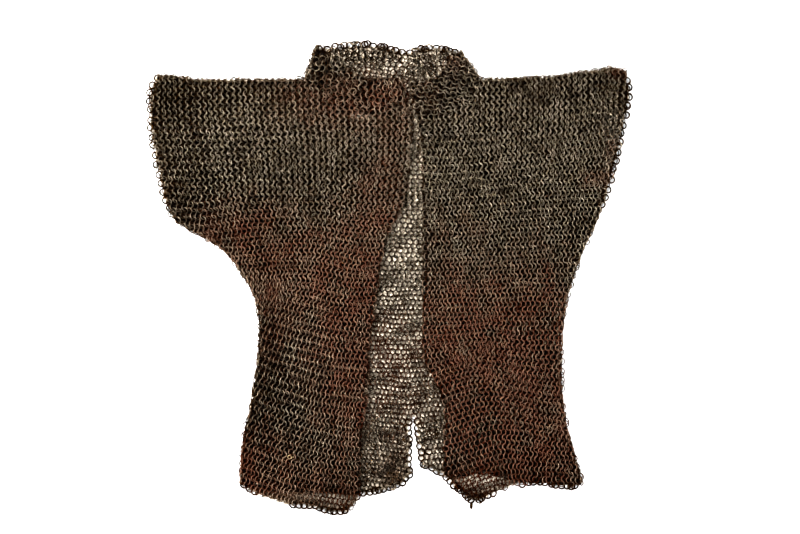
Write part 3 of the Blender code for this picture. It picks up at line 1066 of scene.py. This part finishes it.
def wire_mesh(name, path, radius, sides):
    """A round wire bent along a path, closed at both ends."""
    path = np.array(path)
    ahead = unit(np.gradient(path, axis=0))
    beside = unit(np.cross(ahead, UP))
    above = np.cross(beside, ahead)
    corners = []
    for place, right, up in zip(path, beside, above):
        for k in range(sides):
            a = 2 * math.pi * k / sides
            corners.append(tuple(place + radius * (math.cos(a) * right + math.sin(a) * up)))
    faces = [(i * sides + k, i * sides + (k + 1) % sides,
              (i + 1) * sides + (k + 1) % sides, (i + 1) * sides + k)
             for i in range(len(path) - 1) for k in range(sides)]
    faces.append(tuple(range(sides)))
    faces.append(tuple(reversed(range((len(path) - 1) * sides, len(path) * sides))))
    mesh = bpy.data.meshes.new(name)
    mesh.from_pydata(corners, [], faces)
    mesh.shade_smooth()
    return mesh


def finish_piece(context, name, links, steps, rust, nodes, flat, area):
    """Turns gathered links into an object of the model; steps is how finely a ring bends."""
    triangles = 2 * steps * WIRE_SIDES * len(links)
    if triangles > MOST_TRIANGLES:
        raise RuntimeError(f"{name} has {triangles} triangles")
    piece = bpy.data.objects.new(name, link_mesh(name, links, steps, rust))
    colours = context.scene.mail_colours
    piece.data.materials.append(iron_wire(
        name, (*colours.iron, 1), (*colours.rubbed_and_lit, 1), (*colours.rust, 1)))
    context.scene.collection.objects.link(piece)
    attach(piece, "root")
    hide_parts(*nodes)
    print(name, len(links), "links", triangles, "triangles")


def halves(names, node, waist):
    """The upper and the lower half of a panel: its name, its part, and its flat size (m)."""
    low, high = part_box(node)
    wide = high[0] - low[0]
    return ((names[0], lambda x, y: y >= waist / MM, (wide, high[1] - waist)),
            (names[1], lambda x, y: y < waist / MM, (wide, waist - low[1])))


def plan_area(layer, node, part=everywhere):
    """Flat area (m2) of one layer of a wall's mail, counted in small squares."""
    step = 3.0
    low, high = plan_box(node)
    squares = 0
    for x in np.arange(low[0] + step / 2, high[0], step):
        for y in np.arange(low[1] + step / 2, high[1], step):
            if part(x, y):
                found = layer.found(x, y)
                squares += found is not None and found[0] == node
    return squares * (step * MM) ** 2


class MAIL_OT_link_fronts(bpy.types.Operator):
    """Links the two fronts of the shirt, each in an upper and a lower half"""
    bl_idname = "mail.link_fronts"
    bl_label = "Link the fronts"

    def execute(self, context):
        waist = context.scene.mail_sizes.waist
        for side in ("right", "left"):
            node = f"front_{side}"
            for half, part, flat in halves(("chest", "skirt"), node, waist):
                links = Links(seed=11 + len(half) + len(side))
                loose = lay_edges(links, FRONT, node, part)
                lay_weave(links, side, FRONT, node, part, loose)
                lay_fold(links, folds_of(node), part)
                if side == "left" and half == "skirt":
                    hang_last_link(links)
                finish_piece(context, f"mail_{node}_{half}", links, FINE_RING,
                             FRONT_RUST, [node], flat, plan_area(FRONT, node, part))
        return {"FINISHED"}


class MAIL_OT_link_back(bpy.types.Operator):
    """Links the back of the shirt, in an upper and a lower half"""
    bl_idname = "mail.link_back"
    bl_label = "Link the back"

    def execute(self, context):
        waist = context.scene.mail_sizes.back_waist
        for half, part, flat in halves(("upper", "lower"), "back", waist):
            links = Links(seed=31 + len(half))
            loose = lay_edges(links, BACK, "back", part)
            lay_weave(links, "back", BACK, "back", part, loose, BACK_DISORDER)
            finish_piece(context, f"mail_back_{half}", links, PLAIN_RING,
                         BACK_RUST, ["back"], flat, plan_area(BACK, "back", part))
        return {"FINISHED"}


class MAIL_OT_link_sleeves(bpy.types.Operator):
    """Links the two sleeves, each a tube pressed flat"""
    bl_idname = "mail.link_sleeves"
    bl_label = "Link the sleeves"

    def execute(self, context):
        for side in ("right", "left"):
            front, back = f"sleeve_{side}_front", f"sleeve_{side}_back"
            links = Links(seed=41 + len(side))
            loose = lay_edges(links, FRONT, front, everywhere)
            lay_weave(links, side, FRONT, front, everywhere, loose)
            loose = lay_edges(links, BACK, back, everywhere)
            lay_weave(links, "back", BACK, back, everywhere, loose)
            lay_fold(links, folds_of(front), everywhere)
            low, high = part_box(front)
            flat = 2 * (high[1] - low[1]), high[0] - low[0]
            area = plan_area(FRONT, front) + plan_area(BACK, back)
            finish_piece(context, f"mail_sleeve_{side}", links, FINE_RING,
                         FRONT_RUST, [front, back], flat, area)
        return {"FINISHED"}


class MAIL_OT_link_collar(bpy.types.Operator):
    """Links the standing collar, a band folded at both ends of the neck"""
    bl_idname = "mail.link_collar"
    bl_label = "Link the collar"

    def execute(self, context):
        links = Links(seed=51)

        def right(x, y):
            return x < COLLAR_SPLIT_X

        def left(x, y):
            return x >= COLLAR_SPLIT_X

        for layer, weaves in ((FRONT, (("right", right), ("turned", left))),
                              (BACK, (("back", everywhere),))):
            loose = lay_edges(links, layer, "collar", everywhere, COLLAR_EDGE_DISORDER,
                              RIM_PITCH)
            for weave, part in weaves:
                lay_weave(links, weave, layer, "collar", part, loose, COLLAR_DISORDER)
        lay_fold(links, folds_of("collar"), everywhere)
        low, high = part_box("collar")
        flat = 2 * (high[0] - low[0]), high[1] - low[1]
        area = plan_area(FRONT, "collar") + plan_area(BACK, "collar")
        finish_piece(context, "mail_collar", links, FINE_RING,
                     FRONT_RUST, ["collar"], flat, area)
        return {"FINISHED"}


class MAIL_OT_bend_repair_link(bpy.types.Operator):
    """Bends the brass link that mends the right front"""
    bl_idname = "mail.bend_repair_link"
    bl_label = "Bend the repair link"

    def execute(self, context):
        low, high = (np.array(corner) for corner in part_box("repair_link"))
        middle = (low + high) / 2
        radius, wire = 0.0038, 0.00055
        # An open hook, a little tilted, whose free end crosses over to the right.
        hook = [middle + radius * np.array([math.cos(a), 0.75 * math.sin(a), 0.12 * math.sin(a)])
                for a in np.linspace(math.radians(75), math.radians(330), 14)]
        end = [middle + np.array([0.0012 + 0.0016 * k, 0.0002 - 0.0001 * k, 0.0006])
               for k in range(4)]
        mesh = wire_mesh("repair_link_wire", hook + end, wire, 8)
        mesh.materials.append(old_brass())
        piece = bpy.data.objects.new("repair_link_wire", mesh)
        context.scene.collection.objects.link(piece)
        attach(piece, "root")
        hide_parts("repair_link")
        return {"FINISHED"}


class MAIL_OT_set_stage(bpy.types.Operator):
    """Lays the pale table, and sets the lamps and the camera straight above"""
    bl_idname = "mail.set_stage"
    bl_label = "Set the stage"

    def execute(self, context):
        stage = context.scene.mail_stage
        low, high = CAD_BOX

        table = bpy.data.objects.new("table", table_mesh(stage))
        context.scene.collection.objects.link(table)
        table.data.materials.append(pale_table(stage))

        add_lamp(context, "key", (-1.8, 0.9, 2.0), 0.45, stage.key_power)
        add_lamp(context, "fill", (1.5, -0.2, 2.4), 1.4, stage.fill_power)

        context.scene.world = studio(stage)
        context.scene.view_settings.view_transform = "Standard"
        context.scene.view_settings.look = "High Contrast"

        data = bpy.data.cameras.new("camera")
        data.lens = data.sensor_width * stage.distance / stage.view_width
        camera = bpy.data.objects.new("camera", data)
        middle = (low + high) / 2
        camera.location = (middle.x + stage.aim_x, middle.y + stage.aim_y, stage.distance)
        context.scene.collection.objects.link(camera)
        context.scene.camera = camera
        return {"FINISHED"}


def add_lamp(context, name, place, size, power):
    """A square soft lamp that shines at the frame's origin."""
    light = bpy.data.lights.new(name, "AREA")
    light.shape = "SQUARE"
    light.size = size
    light.energy = power
    lamp = bpy.data.objects.new(name, light)
    lamp.location = place
    lamp.rotation_euler = (-Vector(place)).to_track_quat("-Z", "Y").to_euler()
    context.scene.collection.objects.link(lamp)


def studio(stage):
    """The room: pale walls low round the table, and little light from above."""
    world = bpy.data.worlds.new("studio")
    world.use_nodes = True
    tree = world.node_tree
    sky = tree.nodes["Background"]
    sky.inputs["Color"].default_value = (1, 1, 1, 1)
    way = add_node(tree, "ShaderNodeTexCoord")
    height = add_node(tree, "ShaderNodeSeparateXYZ")
    tree.links.new(way.outputs["Generated"], height.inputs[0])
    tree.links.new(remapped(tree, height.outputs["Z"], 0.13, 0.18, stage.walls, stage.sky),
                   sky.inputs["Strength"])
    return world


def rim_width(x, y):
    """How far in from the outline the table is painted bright (mm)."""
    if FOLDS.near(x, y, 9.0):
        return 2.5
    at_cuff = abs(x) > CUFF + 40 and y > 150
    if at_cuff:
        return 7.5
    at_collar = y > 350
    if at_collar:
        return 6.0
    at_slit = y < -225 and 10 < x < 65
    return 4.0 if at_slit else 5.0


def painted_shade_at(x, y):
    """How deep the shade painted on the table is, from 0 in the open to 1 under two layers."""
    upper, lower = FRONT.found(x, y), BACK.found(x, y)
    if not upper and not lower:
        return 0.0
    width = rim_width(x, y)
    for dx, dy in COMPASS:
        side = x + width * dx, y + width * dy
        if not (FRONT.found(*side) or BACK.found(*side)):
            return RIM_SHADE
    if upper and lower and not FRONT.found(x + SHADOW, y):
        return BRINK_SHADE
    if upper:
        light = sum(patch.strength * bump(patch, x, y) for patch in OPEN_MAIL_LIGHT)
        return (1.0 if lower else FRONT_SHADE) - light
    if y < SHADOW_TOP and FRONT.found(x - SHADOW, y):
        return THROWN_SHADE
    dense = sum(patch.strength * bump(patch, x, y) for patch in CLOSE_MAIL_SHADE)
    return BACK_SHADE + min(CLOSE_SHADE, dense)


def table_mesh(stage):
    """The table top, with a fine middle that carries the shade painted where the mail lies over
    it.
    """
    low, high = CAD_BOX
    half = stage.table / 2
    border, square = 0.02, 0.004
    xs = [-half, *np.arange(low.x - border, high.x + border, square), half]
    ys = [-half, *np.arange(low.y - border, high.y + border, square), half]
    corners = [(x, y, 0.0) for y in ys for x in xs]
    wide = len(xs)
    faces = [(j * wide + i, j * wide + i + 1, (j + 1) * wide + i + 1, (j + 1) * wide + i)
             for j in range(len(ys) - 1) for i in range(wide - 1)]
    mesh = bpy.data.meshes.new("table")
    mesh.from_pydata(corners, [], faces)
    shade = [painted_shade_at(x / MM, y / MM) for x, y, z in corners]
    mesh.attributes.new("shade", "FLOAT", "POINT").data.foreach_set("value", shade)
    return mesh


def pale_table(stage):
    """A plain pale surface with painted light and shade: it glows where it is open and is
    painted dark under the mail.
    """
    material, tree, shader = new_material("pale_table")
    shader.inputs["Roughness"].default_value = 0.9
    shader.inputs["Emission Color"].default_value = (1, 1, 1, 1)
    pale = (*stage.table_colour, 1)
    plain = mixed_colour(tree, speckle(tree, 0.4), pale, scaled(pale, 0.97, 0.97, 0.97))
    shade = add_node(tree, "ShaderNodeAttribute", attribute_name="shade").outputs["Fac"]
    # Painted light: the open table and the rims glow, though they are no lamp, which also hides
    # the mail's shadows there.
    glow = remapped(tree, shade, 0.0, 2 * RIM_SHADE, stage.glow, 0)
    tree.links.new(glow, shader.inputs["Emission Strength"])
    # Painted shade: white at the rims, cream under the back alone, dark brown where it is drawn
    # together, near black under two layers.
    painted_shade_ramp = add_node(tree, "ShaderNodeValToRGB")
    first, last = painted_shade_ramp.color_ramp.elements
    first.position, first.color = RIM_SHADE, (1, 1, 1, 1)
    last.position, last.color = 1.0, (0.010, 0.004, 0.0005, 1)
    painted_shade_ramp.color_ramp.elements.new(BACK_SHADE).color = (0.85, 0.75, 0.61, 1)
    deepest = BACK_SHADE + CLOSE_SHADE
    painted_shade_ramp.color_ramp.elements.new(deepest).color = (0.16, 0.098, 0.054, 1)
    tree.links.new(shade, painted_shade_ramp.inputs["Fac"])
    tree.links.new(mixed_colour(tree, 1.0, plain, painted_shade_ramp.outputs["Color"], "MULTIPLY"),
                   shader.inputs["Base Color"])
    return material


# ------------------------------------------------------------------ settings and panel

class MailSizes(bpy.types.PropertyGroup):
    """Sizes of the links and of the weave"""
    link_radius: bpy.props.FloatProperty(
        name="Link radius", description="From a link's middle to the middle of its wire",
        default=0.0054, unit="LENGTH")
    wire_radius: bpy.props.FloatProperty(
        name="Wire radius", description="Half the thickness of the fronts' wire",
        default=0.00073, unit="LENGTH")
    back_wire: bpy.props.FloatProperty(
        name="Back wire", description="How thick the back's wire is against the fronts'",
        default=1.13)
    edge_wire: bpy.props.FloatProperty(
        name="Edge wire", description="How thick the edge links' wire is against the fronts'",
        default=1.75)
    lean: bpy.props.FloatProperty(
        name="Lean", description="How far a link of the fronts leans along its row",
        default=math.radians(26), subtype="ANGLE")
    squeezed_lean: bpy.props.FloatProperty(
        name="Squeezed lean", description="How much more it leans for each mm of pitch lost",
        default=math.radians(3.5), subtype="ANGLE")
    back_lean: bpy.props.FloatProperty(
        name="Back lean", description="How far a link of the back leans along its row",
        default=math.radians(31), subtype="ANGLE")
    lean_spread: bpy.props.FloatProperty(
        name="Lean spread", description="How much the lean differs from link to link",
        default=math.radians(7.5), subtype="ANGLE")
    loose_share: bpy.props.FloatProperty(
        name="Loose links", description="Share of the links that lie nearly flat",
        default=0.02, subtype="FACTOR")
    shake: bpy.props.FloatProperty(
        name="Shake", description="How far a link has shifted out of its place",
        default=0.0005, unit="LENGTH")
    front_lift: bpy.props.FloatProperty(
        name="Front lift", description="How far the fronts' links ride above their walls",
        default=0.0009, unit="LENGTH")
    back_lift: bpy.props.FloatProperty(
        name="Back lift", description="How far the back's links ride above its wall",
        default=0.00045, unit="LENGTH")
    edge_reach: bpy.props.FloatProperty(
        name="Edge reach", description="How far the woven links stay from an edge",
        default=0.0048, unit="LENGTH")
    edge_room: bpy.props.FloatProperty(
        name="Edge room", description="Least distance from a woven link to a loose edge link",
        default=0.0050, unit="LENGTH")
    waist: bpy.props.FloatProperty(
        name="Waist", description="Height at which the fronts are halved",
        default=-0.03, unit="LENGTH")
    back_waist: bpy.props.FloatProperty(
        name="Back waist", description="Height at which the back is halved",
        default=-0.002, unit="LENGTH")


class MailColours(bpy.types.PropertyGroup):
    """Colours of the metal"""
    # The iron colour is the painted shade low in the weave; the rubbed colour is the crowns,
    # worn bright and painted lit.
    iron: bpy.props.FloatVectorProperty(
        name="Iron", description="Iron that lies low in the weave", subtype="COLOR",
        default=(0.0195, 0.0085, 0.0015))
    rubbed_and_lit: bpy.props.FloatVectorProperty(
        name="Rubbed iron", description="The crowns of the links", subtype="COLOR",
        default=(0.388, 0.337, 0.266))
    rust: bpy.props.FloatVectorProperty(
        name="Rust", description="Old rust on the front", subtype="COLOR",
        default=(0.335, 0.152, 0.104))


class MailStage(bpy.types.PropertyGroup):
    """Table, lamps and camera"""
    table: bpy.props.FloatProperty(
        name="Table", description="Side of the square table", default=60.0, unit="LENGTH")
    table_colour: bpy.props.FloatVectorProperty(
        name="Table colour", description="Plain pale surface", subtype="COLOR",
        default=(0.95, 0.95, 0.95))
    # Painted light: the open table glows though it is no lamp.
    glow: bpy.props.FloatProperty(
        name="Table glow", description="How much the open table shines of itself",
        default=0.7)
    key_power: bpy.props.FloatProperty(
        name="Key lamp", description="Power of the soft lamp out past the right shoulder",
        default=138.0, unit="POWER")
    fill_power: bpy.props.FloatProperty(
        name="Fill lamp", description="Power of the soft lamp opposite",
        default=30.0, unit="POWER")
    walls: bpy.props.FloatProperty(
        name="Walls", description="Brightness of the pale walls far round the table",
        default=0.9)
    sky: bpy.props.FloatProperty(
        name="Sky", description="Strength of the even light from above", default=0.012)
    distance: bpy.props.FloatProperty(
        name="Camera height", description="Height of the camera above the table",
        default=3.0, unit="LENGTH")
    view_width: bpy.props.FloatProperty(
        name="View width", description="Width of the table that the camera sees",
        default=1.3228, unit="LENGTH")
    aim_x: bpy.props.FloatProperty(
        name="Aim across", description="How far it aims from the middle to the left sleeve",
        default=0.0165, unit="LENGTH")
    aim_y: bpy.props.FloatProperty(
        name="Aim along", description="How far it aims from the middle to the collar",
        default=0.0195, unit="LENGTH")


class MAIL_PT_hauberk(bpy.types.Panel):
    """The settings of the hauberk, and the steps that make it"""
    bl_label = "Chainmail hauberk"
    bl_idname = "MAIL_PT_hauberk"
    bl_space_type = "VIEW_3D"
    bl_region_type = "UI"
    bl_category = "Mail"

    def draw(self, context):
        for settings in (context.scene.mail_sizes, context.scene.mail_colours,
                         context.scene.mail_stage):
            box = self.layout.box()
            for key in settings.__annotations__:
                box.prop(settings, key)
        for step in STEPS:
            self.layout.operator(step.bl_idname)


SETTINGS = {"mail_sizes": MailSizes, "mail_colours": MailColours, "mail_stage": MailStage}
STEPS = (MAIL_OT_set_stage, MAIL_OT_link_back, MAIL_OT_link_sleeves, MAIL_OT_link_fronts,
         MAIL_OT_link_collar, MAIL_OT_bend_repair_link)


def register():
    for kind in (*SETTINGS.values(), *STEPS, MAIL_PT_hauberk):
        bpy.utils.register_class(kind)
    for key, kind in SETTINGS.items():
        setattr(bpy.types.Scene, key, bpy.props.PointerProperty(type=kind))


def unregister():
    for key in SETTINGS:
        delattr(bpy.types.Scene, key)
    for kind in (MAIL_PT_hauberk, *STEPS[::-1], *SETTINGS.values()):
        bpy.utils.unregister_class(kind)


def main():
    register()
    for step in STEPS:
        group, name = step.bl_idname.split(".")
        getattr(getattr(bpy.ops, group), name)()


if __name__ == "__main__":
    main()
